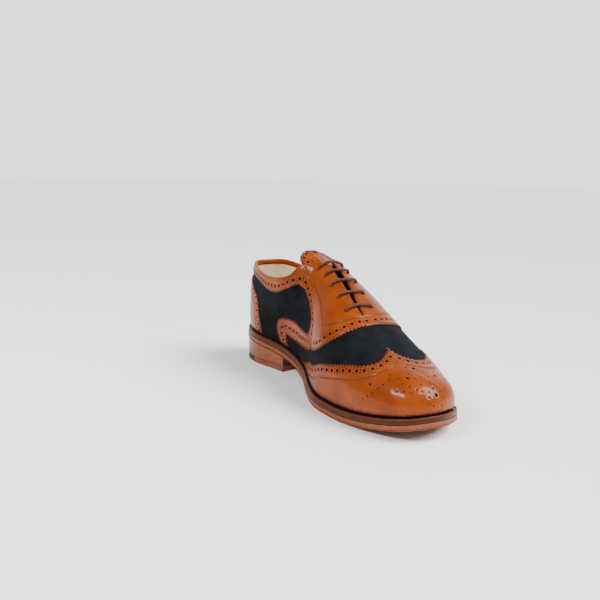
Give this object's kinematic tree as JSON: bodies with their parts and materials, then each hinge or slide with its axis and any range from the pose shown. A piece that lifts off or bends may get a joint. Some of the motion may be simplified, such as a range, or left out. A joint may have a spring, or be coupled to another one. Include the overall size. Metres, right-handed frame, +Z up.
{
  "type": "spectator shoe",
  "caption": "Left two-tone full-brogue Oxford, size EU 42, with a winged toe cap, closed lacing, stitched leather sole and stacked heel.",
  "frame": {"origin": "floor point under the middle of the shoe's bounding box", "axes": "+X to the toe, +Y to the outer side of the foot, +Z up"},
  "size_m": [0.3, 0.1058, 0.1166],
  "materials": {
    "tan_calf": "polished burnished calf",
    "suede": "fine matt suede, near-black navy",
    "sole_leather": "satin waxed",
    "welt_leather": "dark waxed edge",
    "stacked_leather": "polished layers",
    "top_piece_leather": "satin",
    "top_piece_rubber": "matt",
    "lining": "plain undyed",
    "lace": "round waxed cotton"
  },
  "bodies": {
    "root": {"outsole": "sole_leather", "welt": "welt_leather", "insole": "lining", "heel_stack": "stacked_leather", "heel_top_leather": "top_piece_leather", "heel_top_rubber": "top_piece_rubber", "upper": "suede", "wing_cap": "tan_calf", "facing": "tan_calf", "heel_counter": "tan_calf", "tongue": "tan_calf", "lace_bar_1": "lace", "lace_bar_2": "lace", "lace_bar_3": "lace", "lace_bar_4": "lace", "lace_bar_5": "lace"}
  },
  "joints": []
}
